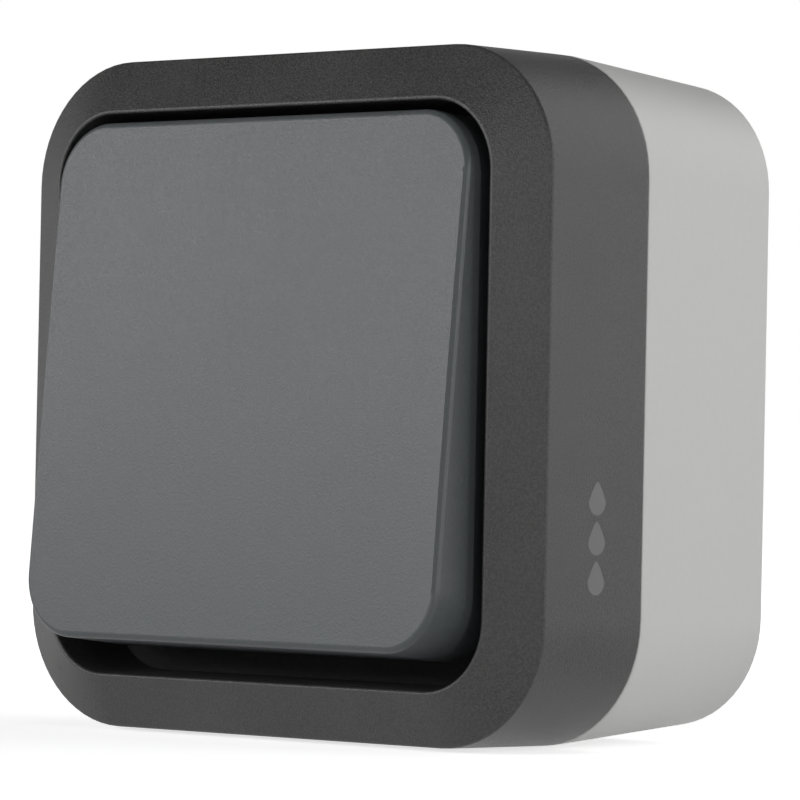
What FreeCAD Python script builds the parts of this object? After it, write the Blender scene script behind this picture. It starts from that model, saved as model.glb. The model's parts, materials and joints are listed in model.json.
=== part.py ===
import FreeCAD, Part
import math
import os

# Surface-mounted wet-room rocker switch, in millimetres.
# X runs to the right, +Y into the wall and +Z up. The origin is the middle of the box's wall face.
# Most places are given as a depth, the distance out from the wall, so a depth of 10 is Y = -10.
# The rocker stands with its lower edge out. Its group and the contact lever are drawn level and
# then turned about their pivots, so both end positions are mirror images.

# Box on the wall
box_side = 66.0
box_corner = 12.3
box_depth = 21.5
box_draft = 1.45
box_wall = 2.4
back_wall = 2.5
joint_edge = 0.25
back_edge = 0.5
spigot_height = 2.2
spigot_gap = 0.15
shoulder_width = 1.2
gasket_thickness = 0.9
gasket_relief = 0.1

# Cover frame
frame_depth = 14.3
frame_draft = 0.17
frame_wall = 2.4
rim_rise = 2.9
rim_thickness = 2.0
rim_edge = 0.35
rim_width = 5.55
opening_edge = 0.45
well_draft = 0.15
well_wall = 1.6
well_depth = 9.2
well_floor_thickness = 2.0

# Rocker and its pivot
pivot_drop = 3.1
rocker_swing = 5.0
rocker_reach = 15.35
rocker_gap_x = 1.3
rocker_gap_z = 2.15
rocker_corner = 6.0
rocker_crown = 0.25
rocker_edge = 0.45
rocker_skirt = 8.85
rocker_draft = 0.15
rocker_wall = 1.6
rocker_top = 2.05
rocker_rib = 1.0
rocker_rib_height = 3.6

# Yoke under the rocker
neck_radius = 6.0
neck_reach = 9.0
tenon_half = 4.0
tenon_height = 3.5
tenon_gap = 0.1
socket_wall = 1.5
snap_height = 1.2
snap_width = 3.0
snap_rise = 0.5
hub_radius = 3.5
hub_half = 7.3
trunnion_radius = 1.6
trunnion_gap = 0.06
cheek_thickness = 2.5
cheek_side_gap = 0.2
cheek_radius = 2.7
cheek_foot = 3.4
guide_radius = 3.4
guide_length = 8.5
guide_bore_front = 3.0

# Plunger and spring
plunger_radius = 2.14
plunger_gap = 0.06
plunger_front = 3.0
plunger_shoulder = 10.2
plunger_bore_radius = 1.5
plunger_bore_end = 9.4
ball_radius = 1.2
ball_reach = 11.8
spring_radius = 1.15
spring_wire = 0.46
spring_wire_sides = 5
spring_turns = 5
spring_end_gap = 0.03

# Contact lever
lever_swing = 7.0
ball_front = 1.7
ball_gap = 0.08
lever_thickness = 0.8
lever_width = 5.0
lever_half = 10.2
lever_bend = 2.6
lever_end_radius = 1.4
tab_radius = 0.6
tab_reach = 4.4
tab_root = 0.6
tab_gap = 0.05
contact_offset = 8.5
moving_tip_radius = 1.3
moving_tip_height = 0.7
fixed_tip_radius = 1.5
fixed_tip_height = 0.6
tip_crown = 0.3
contact_gap = 0.03

# Strips, clamps and their screws
strip_thickness = 0.8
strip_width = 3.8
strip_back = 2.4
arm_offset = 3.3
arm_height = 1.3
arm_half = 2.2
clamp_place = 13.0
clamp_length = 5.4
clamp_wall = 1.0
clamp_top = 1.4
clamp_side = 1.0
wire_space = 3.4
strip_gap = 0.1
strip_end = 3.0
terminal_screw_radius = 1.45
terminal_screw_gap = 0.05
terminal_head_radius = 2.5
terminal_head_height = 1.6
terminal_head_lift = 0.6
terminal_tip_lift = 1.2
wire_hole_radius = 1.6

# Insulating base and its plate
base_wall = 2.4
base_half_z = 14.5
base_thickness = 13.0
base_drop = 6.4
base_corner = 2.0
chamber_half_x = 4.8
chamber_half_z = 11.4
pocket_gap = 0.4
plate_inset = 1.0
plate_thickness = 2.0
plate_opening_gap = 0.3
driver_hole_radius = 2.8
rivet_inset_x = 5.5
rivet_inset_z = 4.0
rivet_radius = 1.25
rivet_gap = 0.05
rivet_head_radius = 2.0
rivet_head = 0.6

# Screws, pillars and lugs
screw_inset = 7.95
screw_radius = 1.75
screw_head_radius = 3.1
screw_head_height = 2.0
screw_recess_width = 0.9
screw_recess_half = 1.9
screw_recess_depth = 1.1
screw_hole_gap = 0.2
screw_thread_gap = 0.05
frame_screw_length = 15.0
insert_screw_length = 11.0
pillar_radius = 3.3
frame_boss_height = 3.5
rib_thickness = 1.2
lug_thickness = 2.5
lug_radius = 3.6
washer_thickness = 0.8
washer_recess = 0.9
washer_radius = 3.2
washer_gap = 0.15

# Diaphragm and its clamp ring
aperture_radius = 12.6
seal_wall = 0.8
seal_gap = 0.1
bead_width = 1.8
bead_height = 1.2
seal_rise = 1.5
seal_crest_rise = 2.6
seal_crest_radius = 9.8
collar_start = 3.9
collar_end = 6.4
collar_wall = 0.8
collar_gap = 0.04
ring_width = 2.4
ring_thickness = 1.2
ring_rib_wall = 1.2
ring_gap = 0.1

# Cable entries and wall slots
entry_radius = 7.0
entry_depth = 11.5
entry_boss_radius = 9.0
entry_boss_height = 3.3
grommet_gap = 0.05
grommet_flange_radius = 8.4
grommet_flange = 1.0
grommet_sink = 0.6
grommet_membrane = 1.0
grommet_wall = 1.2
wall_slot_inset = 9.0
wall_slot_radius = 2.2
wall_slot_length = 7.0
wall_pad_rise = 1.0
wall_pad_margin = 1.8

# Places worked out from the dimensions above
frame_front = box_depth + frame_depth
rim_front = frame_front + rim_rise
well_floor_depth = rim_front - well_depth
pivot_depth = well_floor_depth - pivot_drop
base_front = pivot_depth - base_drop
base_back = base_front - base_thickness
base_half_x = clamp_place + clamp_length / 2 + pocket_gap + base_wall
rivet_x = base_half_x - rivet_inset_x
rivet_z = base_half_z - rivet_inset_z
opening_side = box_side - 2 * rim_width
rocker_width = opening_side - 2 * rocker_gap_x
rocker_height = opening_side - 2 * rocker_gap_z
screw_place = opening_side / 2 - screw_inset
wall_slot_place = box_side / 2 - wall_slot_inset
inner_half = box_side / 2 - box_wall
rebate_half = box_side / 2 - shoulder_width
spigot_half = rebate_half - spigot_gap
spigot_top = box_depth + spigot_height
rebate_top = spigot_top + gasket_thickness
floor_back = well_floor_depth - well_floor_thickness
frame_pillar_top = floor_back - frame_boss_height
rocker_back = pivot_depth + rocker_reach - rocker_skirt
rocker_under = pivot_depth + rocker_reach - rocker_top
neck_end = pivot_depth + neck_reach
plate_front = base_front + plate_thickness
lever_depth = pivot_depth - ball_reach - ball_front

os.makedirs("parts", exist_ok=True)


def point(x, depth, z):
    """A point given by its distance out from the wall."""
    return FreeCAD.Vector(x, -depth, z)


def section_face(levels):
    """Half section of a round or rounded solid; the levels are radius and depth pairs."""
    corners = [point(0, levels[0][1], 0)]
    corners += [point(radius, depth, 0) for radius, depth in levels]
    corners.append(point(0, levels[-1][1], 0))
    return Part.Face(Part.makePolygon(corners + corners[:1]))


def rounded_block(reach_x, reach_z, levels):
    """Block whose section runs round a rectangle of corner centres, with conical corners."""
    centres = ((reach_x, reach_z), (-reach_x, reach_z), (-reach_x, -reach_z), (reach_x, -reach_z))
    outward = FreeCAD.Vector(0, -1, 0)
    back = levels[0][1]
    front = levels[-1][1]
    pieces = [block(-reach_x, reach_x, back, front, -reach_z, reach_z)]
    for number, centre in enumerate(centres):
        start = point(centre[0], 0, centre[1])
        after = centres[(number + 1) % 4]
        corner = section_face(levels).revolve(FreeCAD.Vector(), outward, 90)
        corner.rotate(FreeCAD.Vector(), outward, 90 * number)
        corner.translate(start)
        side = section_face(levels)
        side.rotate(FreeCAD.Vector(), outward, 90 * (number + 1))
        side.translate(start)
        pieces += [corner, side.extrude(point(after[0], 0, after[1]) - start)]
    return joined(pieces)


def straight_block(width, height, corner, back, front):
    """Rounded block with upright sides between two depths."""
    return rounded_block(width / 2 - corner, height / 2 - corner, ((corner, back), (corner, front)))


def square_block(*levels):
    """Block of the box's own family, about the same corner centres; levels are half side and depth."""
    reach = box_side / 2 - box_corner
    return rounded_block(reach, reach, [(half - reach, depth) for half, depth in levels])


def block(x_low, x_high, back, front, z_low, z_high):
    """Rectangular block between two depths."""
    corner = point(x_low, front, z_low)
    return Part.makeBox(x_high - x_low, front - back, z_high - z_low, corner)


def post(x, z, radius, back, front):
    """Round post standing out from the wall between two depths."""
    return Part.makeCylinder(radius, front - back, point(x, back, z), FreeCAD.Vector(0, -1, 0))


def bar(x_low, x_high, radius, depth, z):
    """Round bar that lies from left to right."""
    start = point(x_low, depth, z)
    return Part.makeCylinder(radius, x_high - x_low, start, FreeCAD.Vector(1, 0, 0))


def turned_profile(points, x=0.0, z=0.0):
    """Solid of revolution about an outward axis; the points are radius and depth pairs."""
    corners = [point(x + radius, depth, z) for radius, depth in points]
    face = Part.Face(Part.makePolygon(corners + corners[:1]))
    return face.revolve(point(x, 0, z), FreeCAD.Vector(0, -1, 0), 360)


def tilted(shape, depth, degrees):
    """The shape turned about the left-right line at this depth, top towards the room if positive."""
    copy = shape.copy()
    copy.rotate(point(0, depth, 0), FreeCAD.Vector(1, 0, 0), degrees)
    return copy


def with_rocker(shape):
    """A level piece of the rocker group in its photographed position."""
    return tilted(shape, pivot_depth, -rocker_swing)


def with_lever(shape):
    """A level piece of the contact lever in its photographed position."""
    return tilted(shape, lever_depth, lever_swing)


def joined(pieces):
    """One solid from several that touch or overlap."""
    return pieces[0].fuse(pieces[1:]).removeSplitter()


def without(solid, cuts):
    """The solid with all of these cut away."""
    return solid.cut(Part.makeCompound(cuts))


def edges_at(solid, depth, reach):
    """Edges that lie at one depth, at least this far from the middle."""
    found = []
    for edge in solid.Edges:
        box = edge.BoundBox
        level = abs(box.YMin + depth) < 0.01 and abs(box.YMax + depth) < 0.01
        away = max(abs(box.XMin), abs(box.XMax), abs(box.ZMin), abs(box.ZMax))
        if level and away > reach:
            found.append(edge)
    return found


def save(name, solids):
    """Write one node; identical pieces share it as separate solids."""
    shape = solids[0] if len(solids) == 1 else Part.makeCompound(solids)
    shape.exportStep("parts/" + name + ".step")


def box_half_at(depth):
    """Half of the box's side at a depth."""
    return box_side / 2 - box_draft * (1 - depth / box_depth)


entry_wall = box_half_at(entry_depth)
entry_seat = entry_wall - entry_boss_height

# The frame's screws stand on one diagonal and the insert's on the other
frame_screw_places = ((-screw_place, screw_place), (screw_place, -screw_place))
insert_screw_places = ((screw_place, screw_place), (-screw_place, -screw_place))
lug_back = base_front - lug_thickness
washer_seat = well_floor_depth - washer_recess
frame_head_seat = washer_seat + washer_thickness


def pan_screw(x, z, seat, length):
    """Cheese-head screw with a cross recess, its head on the seat and its shank towards the wall."""
    top = seat + screw_head_height
    bottom = top - screw_recess_depth
    head = post(x, z, screw_head_radius, seat, top)
    shank = post(x, z, screw_radius, seat - length, seat)
    half = screw_recess_width / 2
    recess = [
        block(x - half, x + half, bottom, top, z - screw_recess_half, z + screw_recess_half),
        block(x - screw_recess_half, x + screw_recess_half, bottom, top, z - half, z + half),
    ]
    return without(joined([head, shank]), recess)


def rear_box():
    """Drafted shell with a spigot, pillars, cable entries and wall slots."""
    outer = square_block(
        (box_half_at(0) - back_edge, 0),
        (box_half_at(back_edge), back_edge),
        (box_half_at(box_depth - joint_edge), box_depth - joint_edge),
        (box_side / 2 - joint_edge, box_depth),
    )
    spigot = square_block((spigot_half, box_depth - joint_edge), (spigot_half, spigot_top))
    inside = square_block(
        (box_half_at(back_wall) - box_wall, back_wall), (inner_half, box_depth), (inner_half, spigot_top)
    )
    shell = joined([outer, spigot]).cut(inside)

    middle = box_wall / 2
    fill = square_block(
        (box_half_at(back_wall / 2) - middle, back_wall / 2), (box_side / 2 - middle, box_depth)
    )
    added = []
    cuts = []
    for places, top, length, seat in (
        (frame_screw_places, frame_pillar_top, frame_screw_length, frame_head_seat),
        (insert_screw_places, lug_back, insert_screw_length, base_front),
    ):
        bore_end = seat - length - 2 * screw_radius
        for x, z in places:
            added.append(post(x, z, pillar_radius, back_wall / 2, top))
            rib_top = min(top, box_depth) - pillar_radius / 2
            half = rib_thickness / 2
            x_low, x_high = sorted((x, math.copysign(box_side / 2, x)))
            z_low, z_high = sorted((z, math.copysign(box_side / 2, z)))
            across = block(x_low, x_high, back_wall / 2, rib_top, z - half, z + half)
            along = block(x - half, x + half, back_wall / 2, rib_top, z_low, z_high)
            added.append(across.common(fill))
            added.append(along.common(fill))
            cuts.append(post(x, z, screw_radius + screw_thread_gap, bore_end, top))

    pad_half = wall_slot_length / 2 + wall_pad_margin
    pad_top = back_wall + wall_pad_rise
    for sign in (-1, 1):
        place = sign * wall_slot_place
        pad_height = 2 * (wall_slot_radius + wall_pad_margin)
        pad = straight_block(2 * pad_half, pad_height, wall_slot_radius, back_wall / 2, pad_top)
        pad.translate(FreeCAD.Vector(place, 0, 0))
        added.append(pad.common(fill))
        run = wall_slot_length / 2 - wall_slot_radius
        cuts.append(post(place - run, 0, wall_slot_radius, 0, pad_top))
        cuts.append(post(place + run, 0, wall_slot_radius, 0, pad_top))
        cuts.append(block(place - run, place + run, 0, pad_top, -wall_slot_radius, wall_slot_radius))

        start = point(0, entry_depth, sign * entry_seat)
        upright = FreeCAD.Vector(0, 0, sign)
        boss = Part.makeCylinder(entry_boss_radius, box_side / 2 - entry_seat, start, upright)
        added.append(boss.common(fill))
        cuts.append(Part.makeCylinder(entry_radius, box_side / 2, start, upright))
    return without(joined([shell] + added), cuts)


def cable_grommet(sign):
    """Rubber entry seal: a membrane to be pierced, flush in the wall, and a flange inside."""
    wall = entry_radius - grommet_gap
    outer = entry_wall - grommet_sink
    profile = [
        (0, outer),
        (wall, outer),
        (wall, entry_seat),
        (grommet_flange_radius, entry_seat),
        (grommet_flange_radius, entry_seat - grommet_flange),
        (wall - grommet_wall, entry_seat - grommet_flange),
        (wall - grommet_wall, outer - grommet_membrane),
        (0, outer - grommet_membrane),
    ]
    corners = [FreeCAD.Vector(radius, -entry_depth, sign * height) for radius, height in profile]
    face = Part.Face(Part.makePolygon(corners + corners[:1]))
    return face.revolve(point(0, entry_depth, 0), FreeCAD.Vector(0, 0, 1), 360)


def box_gasket():
    """Flat rubber ring between the spigot and the frame's ledge."""
    outer = spigot_half - gasket_relief
    inner = inner_half + gasket_relief
    ring = square_block((outer, spigot_top), (outer, rebate_top))
    return ring.cut(square_block((inner, spigot_top), (inner, rebate_top)))


def cover_frame():
    """Frame with a sloping rim, a drafted well, bosses and the diaphragm's clamping rib."""
    front_half = box_side / 2 - frame_draft
    opening_half = opening_side / 2
    slope = math.atan2(rim_rise, front_half - opening_half)
    outer = square_block(
        (box_side / 2 - joint_edge, box_depth),
        (box_side / 2, box_depth + joint_edge),
        (front_half, frame_front - rim_edge),
        (front_half - rim_edge, frame_front + rim_edge * math.tan(slope)),
        (opening_half, rim_front),
    )

    # The channel between the outer wall and the well stays open to the back
    channel_half = box_side / 2 - frame_wall
    tub_half = opening_half + well_wall
    rim_at_channel = frame_front + (front_half - channel_half) * math.tan(slope)
    channel_top = rim_at_channel - rim_thickness / math.cos(slope)
    channel = square_block((channel_half, box_depth), (channel_half, channel_top))
    rebate = square_block((rebate_half, box_depth), (rebate_half, rebate_top))
    tub = square_block((tub_half, floor_back), (tub_half, rim_front))
    shell = without(outer, [channel.cut(tub), rebate])

    added = []
    for x, z in frame_screw_places:
        added.append(post(x, z, lug_radius, frame_pillar_top, well_floor_depth))
    rib_inner = aperture_radius + seal_gap + ring_width + ring_gap
    rib_back = floor_back - bead_height - ring_thickness
    rib = post(0, 0, rib_inner + ring_rib_wall, rib_back, well_floor_depth)
    added.append(rib.cut(post(0, 0, rib_inner, rib_back, floor_back)))

    well = square_block(
        (opening_half - well_draft, well_floor_depth),
        (opening_half, rim_front - opening_edge),
        (opening_half + opening_edge, rim_front),
    )
    cuts = [well, post(0, 0, aperture_radius, rib_back, well_floor_depth)]
    for x, z in frame_screw_places:
        cuts.append(post(x, z, screw_radius + screw_hole_gap, frame_pillar_top, well_floor_depth))
        cuts.append(post(x, z, washer_radius + washer_gap, washer_seat, well_floor_depth))
    return without(joined([shell] + added), cuts)


def screw_seal(x, z):
    """Rubber washer in its seat under a frame screw's head."""
    ring = post(x, z, washer_radius, washer_seat, frame_head_seat)
    return ring.cut(post(x, z, screw_radius + screw_thread_gap, washer_seat, frame_head_seat))


def seal_ring():
    """Ring snapped behind the diaphragm's bead."""
    inner = aperture_radius + seal_gap
    front = floor_back - bead_height
    ring = post(0, 0, inner + ring_width, front - ring_thickness, front)
    return ring.cut(post(0, 0, inner, front - ring_thickness, front))


def rocker_seal():
    """Rubber diaphragm: a bead on the frame, a rolled membrane and a collar on the yoke's neck."""
    wall_outer = aperture_radius - seal_gap
    wall_inner = wall_outer - seal_wall
    bead_outer = wall_outer + bead_width
    bead_back = floor_back - bead_height
    shoulder = well_floor_depth + seal_rise
    crest = well_floor_depth + seal_crest_rise
    collar_inner = neck_radius + collar_gap
    collar_back = pivot_depth + collar_start
    collar_front = pivot_depth + collar_end
    fold = (collar_back + collar_front) / 2
    half = seal_wall / 2
    outline = [
        (collar_inner, fold + half),
        (seal_crest_radius, crest),
        (wall_outer, shoulder),
        (wall_outer, floor_back),
        (bead_outer, floor_back),
        (bead_outer, bead_back),
        (wall_inner, bead_back),
        (wall_inner, shoulder - half),
        (seal_crest_radius, crest - seal_wall),
        (collar_inner, fold - half),
    ]
    membrane = turned_profile(outline)
    collar = post(0, 0, collar_inner + collar_wall, collar_back, collar_front)
    neck = post(0, 0, collar_inner, floor_back, rocker_under)
    return joined([membrane, with_rocker(collar)]).cut(with_rocker(neck))


def crowned_slab(face_depth, crest_depth):
    """Slab from the wall to a front that bulges from the rocker's upper and lower edges to its middle."""
    half = rocker_height / 2
    rise = crest_depth - face_depth
    radius = (half**2 + rise**2) / (2 * rise)
    side_depth = crest_depth - radius + math.sqrt(radius**2 - rocker_height**2)
    low, high = -rocker_height, rocker_height
    places = ((side_depth, low), (0, low), (0, high), (side_depth, high))
    corners = [point(-rocker_width, depth, z) for depth, z in places]
    front = Part.Arc(corners[-1], point(-rocker_width, crest_depth, 0), corners[0]).toShape()
    profile = Part.Face(Part.Wire(Part.makePolygon(corners).Edges + [front]))
    return profile.extrude(FreeCAD.Vector(2 * rocker_width, 0, 0))


def rocker():
    """Crowned button with a drafted skirt, a grid of ribs and a socket for the yoke."""
    face_depth = pivot_depth + rocker_reach
    crest_depth = face_depth + rocker_crown
    reach_x = rocker_width / 2 - rocker_corner
    reach_z = rocker_height / 2 - rocker_corner

    def outline(inset, depth):
        spread = rocker_draft * (face_depth - depth) / rocker_skirt
        return (rocker_corner + spread - inset, depth)

    blank = rounded_block(reach_x, reach_z, (outline(0, rocker_back), outline(0, crest_depth)))
    body = blank.common(crowned_slab(face_depth, crest_depth))
    front_edges = [edge for edge in body.Edges if -edge.BoundBox.YMax > face_depth - rocker_edge]
    body = body.makeChamfer(rocker_edge, front_edges)
    inside = (outline(rocker_wall, rocker_back), outline(rocker_wall, rocker_under))
    body = body.cut(rounded_block(reach_x, reach_z, inside))

    # Socket walls carry on as ribs out to the skirt
    socket_inner = tenon_half + tenon_gap
    socket_outer = socket_inner + socket_wall
    rib_place = socket_outer - rocker_rib / 2
    rib_back = rocker_under - rocker_rib_height
    rib_end_x = (rocker_width - rocker_wall) / 2
    rib_end_z = (rocker_height - rocker_wall) / 2
    thick = rocker_rib / 2
    added = [block(-socket_outer, socket_outer, neck_end, rocker_under, -socket_outer, socket_outer)]
    for sign in (-1, 1):
        place = sign * rib_place
        added.append(block(-rib_end_x, rib_end_x, rib_back, rocker_under, place - thick, place + thick))
        added.append(block(place - thick, place + thick, rib_back, rocker_under, -rib_end_z, rib_end_z))
    window_back = neck_end + (tenon_height - snap_height) / 2 - tenon_gap
    window_front = window_back + snap_height + 2 * tenon_gap
    window_half = snap_width / 2 + tenon_gap
    cuts = [
        block(-socket_inner, socket_inner, neck_end, rocker_under, -socket_inner, socket_inner),
        block(-socket_outer, socket_outer, window_back, window_front, -window_half, window_half),
    ]
    return with_rocker(without(joined([body] + added), cuts))


def rocker_yoke():
    """Inner lever: trunnions, neck with a snap tenon, and the plunger's guide tube."""
    hub = bar(-hub_half, hub_half, hub_radius, pivot_depth, 0)
    trunnion_end = hub_half + cheek_side_gap + cheek_thickness
    trunnions = bar(-trunnion_end, trunnion_end, trunnion_radius, pivot_depth, 0)
    neck = post(0, 0, neck_radius, pivot_depth, neck_end)
    guide = post(0, 0, guide_radius, pivot_depth - guide_length, pivot_depth)
    tenon = block(-tenon_half, tenon_half, neck_end, neck_end + tenon_height, -tenon_half, tenon_half)
    lead = tenon_height / 6
    tenon = tenon.makeChamfer(lead, edges_at(tenon, neck_end + tenon_height, 0))
    snap_back = neck_end + (tenon_height - snap_height) / 2
    snap_reach = tenon_half + snap_rise
    snap_half = snap_width / 2
    snap = block(-snap_reach, snap_reach, snap_back, snap_back + snap_height, -snap_half, snap_half)
    bore_radius = plunger_radius + plunger_gap
    bore = post(0, 0, bore_radius, pivot_depth - guide_length, pivot_depth + guide_bore_front)
    return with_rocker(joined([hub, trunnions, neck, guide, tenon, snap]).cut(bore))


def drive_plunger():
    """Hollow pin with a ball nose."""
    front = pivot_depth - plunger_front
    shoulder = pivot_depth - plunger_shoulder
    ball = pivot_depth - ball_reach
    stem = turned_profile(
        [(0, ball), (ball_radius, ball), (plunger_radius, shoulder), (plunger_radius, front), (0, front)]
    )
    nose = Part.makeSphere(ball_radius, point(0, ball, 0))
    bore = post(0, 0, plunger_bore_radius, pivot_depth - plunger_bore_end, front)
    return with_rocker(joined([stem, nose]).cut(bore))


def plunger_spring():
    """Open-ended compression spring between the yoke and the plunger's floor."""
    back = pivot_depth - plunger_bore_end + spring_end_gap
    front = pivot_depth + guide_bore_front - spring_end_gap
    length = front - back - spring_wire
    path = Part.makeHelix(length / spring_turns, length, spring_radius)
    start = FreeCAD.Vector(spring_radius, 0, 0)
    corners = []
    for number in range(spring_wire_sides + 1):
        angle = math.radians(number * 360 / spring_wire_sides)
        offset = FreeCAD.Vector(math.cos(angle), 0, math.sin(angle))
        corners.append(start + offset * (spring_wire / 2))
    coil = Part.Wire(path.Edges).makePipeShell([Part.makePolygon(corners)], True, True)
    coil.rotate(FreeCAD.Vector(0, 0, 0), FreeCAD.Vector(1, 0, 0), 90)
    coil.translate(point(0, back + spring_wire / 2, 0))
    return with_rocker(coil)


def valley_slope():
    """Slope of the lever's valley that the ball just follows from one end position to the other."""
    swing = math.radians(rocker_swing)
    rock = math.radians(lever_swing)
    side = ball_reach * math.sin(swing)
    back = ball_front + ball_reach * (1 - math.cos(swing))
    rise = back * math.cos(rock) + side * math.sin(rock) - ball_front
    travel = side * math.cos(rock) - back * math.sin(rock)
    return math.atan2(rise, travel)


# Faces of the level lever, and the level and place at which a crowned tip meets a fixed one
valley_depth = lever_depth + ball_front - (ball_radius + ball_gap) / math.cos(valley_slope())
blade_front = valley_depth + lever_bend * math.tan(valley_slope())
blade_back = blade_front - lever_thickness
crown_sphere = (moving_tip_radius**2 + tip_crown**2) / (2 * tip_crown)
crown_centre = blade_back - moving_tip_height + crown_sphere
rocked_sine = math.sin(math.radians(lever_swing))
rocked_cosine = math.cos(math.radians(lever_swing))
crown_offset = crown_centre - lever_depth
rocked_centre = lever_depth + crown_offset * rocked_cosine - contact_offset * rocked_sine
meeting_depth = rocked_centre - crown_sphere - contact_gap
meeting_place = contact_offset * rocked_cosine + crown_offset * rocked_sine
strip_front = meeting_depth - fixed_tip_height
chamber_floor = strip_front - strip_thickness
clamp_back = chamber_floor - clamp_wall
clamp_front = strip_front + wire_space + clamp_top


def contact_lever():
    """Pressed see-saw blade with a shallow valley for the ball and two pivot tabs."""
    back = lever_thickness
    front_line = (
        (-lever_half, blade_front),
        (-lever_bend, blade_front),
        (0, valley_depth),
        (lever_bend, blade_front),
        (lever_half, blade_front),
    )
    outline = [point(-lever_width / 2, depth, z) for z, depth in front_line]
    outline += [point(-lever_width / 2, depth - back, z) for z, depth in reversed(front_line)]
    face = Part.Face(Part.makePolygon(outline + outline[:1]))
    blade = face.extrude(FreeCAD.Vector(lever_width, 0, 0))
    trim = straight_block(lever_width, 2 * lever_half, lever_end_radius, 0, pivot_depth)
    pieces = [blade.common(trim)]
    for sign in (-1, 1):
        x_low, x_high = sorted((sign * (lever_width / 2 - tab_root), sign * tab_reach))
        pieces.append(bar(x_low, x_high, tab_radius, lever_depth, 0))
    return with_lever(joined(pieces))


def moving_tips():
    """Crowned silver heads on the back of the lever's two ends."""
    tips = []
    for sign in (-1, 1):
        place = sign * contact_offset
        head = post(0, place, moving_tip_radius, blade_back - moving_tip_height, blade_back)
        tips.append(with_lever(head.common(Part.makeSphere(crown_sphere, point(0, crown_centre, place)))))
    return tips


def fixed_tips():
    """Flat silver heads on the two contact strips."""
    return [
        post(0, sign * meeting_place, fixed_tip_radius, strip_front, meeting_depth) for sign in (-1, 1)
    ]


strip_outer = clamp_place + strip_end


def contact_strip(sign):
    """Flat brass strip from under a tip to its clamp."""
    half = strip_width / 2
    middle = sign * contact_offset
    return block(-strip_back, strip_outer, chamber_floor, strip_front, middle - half, middle + half)


def common_strip():
    """Brass strip with two arms whose notches carry the lever's tabs."""
    arm_end = arm_offset + strip_thickness
    arm_top = lever_depth + arm_height
    half = strip_width / 2
    run = block(-strip_outer, arm_end, chamber_floor, strip_front, -half, half)
    pieces = [run, block(-arm_end, arm_end, chamber_floor, strip_front, -arm_half, arm_half)]
    notch = tab_radius + tab_gap
    cuts = [
        bar(-arm_end, arm_end, notch, lever_depth, 0),
        block(-arm_end, arm_end, lever_depth, arm_top, -notch, notch),
    ]
    for sign in (-1, 1):
        x_low, x_high = sorted((sign * arm_offset, sign * arm_end))
        pieces.append(block(x_low, x_high, chamber_floor, arm_top, -arm_half, arm_half))
    return without(joined(pieces), cuts)


terminal_places = (
    (-clamp_place, 0.0),
    (clamp_place, -contact_offset),
    (clamp_place, contact_offset),
)


def terminal_clamp(x, z):
    """Square cage that closes round the strip and the wire."""
    half_x = clamp_length / 2
    inner = strip_width / 2 + strip_gap
    outer = inner + clamp_side
    cage = block(x - half_x, x + half_x, clamp_back, clamp_front, z - outer, z + outer)
    way = block(x - half_x, x + half_x, chamber_floor, clamp_front - clamp_top, z - inner, z + inner)
    thread = post(x, z, terminal_screw_radius + terminal_screw_gap, clamp_front - clamp_top, clamp_front)
    return without(cage, [way, thread])


def terminal_screw(x, z):
    """Cheese-head clamp screw with a straight slot."""
    seat = clamp_front + terminal_head_lift
    top = seat + terminal_head_height
    screw = turned_profile(
        [
            (0, strip_front + terminal_tip_lift),
            (terminal_screw_radius, strip_front + terminal_tip_lift),
            (terminal_screw_radius, seat),
            (terminal_head_radius, seat),
            (terminal_head_radius, top),
            (0, top),
        ],
        x,
        z,
    )
    half = strip_thickness / 2
    reach = terminal_head_radius
    return screw.cut(block(x - half, x + half, (seat + top) / 2, top, z - reach, z + reach))


def switch_base():
    """Insulating block with the contact chamber, terminal pockets, wire holes and fixing lugs."""
    body = straight_block(2 * base_half_x, 2 * base_half_z, base_corner, base_back, base_front)
    added = []
    for x, z in insert_screw_places:
        added.append(post(x, z, lug_radius, lug_back, base_front))
        root = min(base_half_x - base_corner, abs(x) - lug_radius)
        x_low, x_high = sorted((math.copysign(root, x), math.copysign(abs(x) + lug_radius, x)))
        z_low, z_high = sorted((z, math.copysign(base_half_z - base_corner, z)))
        added.append(block(x_low, x_high, lug_back, base_front, z_low, z_high))

    half_x, half_z = chamber_half_x, chamber_half_z
    cuts = [block(-half_x, half_x, chamber_floor, base_front, -half_z, half_z)]
    strip_half = strip_width / 2 + strip_gap
    pocket_half_x = clamp_length / 2 + pocket_gap
    pocket_half_z = strip_width / 2 + strip_gap + clamp_side + pocket_gap
    wire_depth = strip_front + wire_space / 2
    for x, z in terminal_places:
        cuts.append(
            block(
                x - pocket_half_x,
                x + pocket_half_x,
                clamp_back,
                base_front,
                z - pocket_half_z,
                z + pocket_half_z,
            )
        )
        x_low, x_high = sorted((0, x))
        cuts.append(block(x_low, x_high, chamber_floor, base_front, z - strip_half, z + strip_half))
        x_low, x_high = sorted((x, math.copysign(base_half_x, x)))
        cuts.append(bar(x_low, x_high, wire_hole_radius, wire_depth, z))
    for sign in (-1, 1):
        cuts.append(post(-rivet_x, sign * rivet_z, rivet_radius + rivet_gap, base_back, base_front))
    for x, z in insert_screw_places:
        cuts.append(post(x, z, screw_radius + screw_hole_gap, lug_back, base_front))
    return without(joined([body] + added), cuts)


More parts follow.
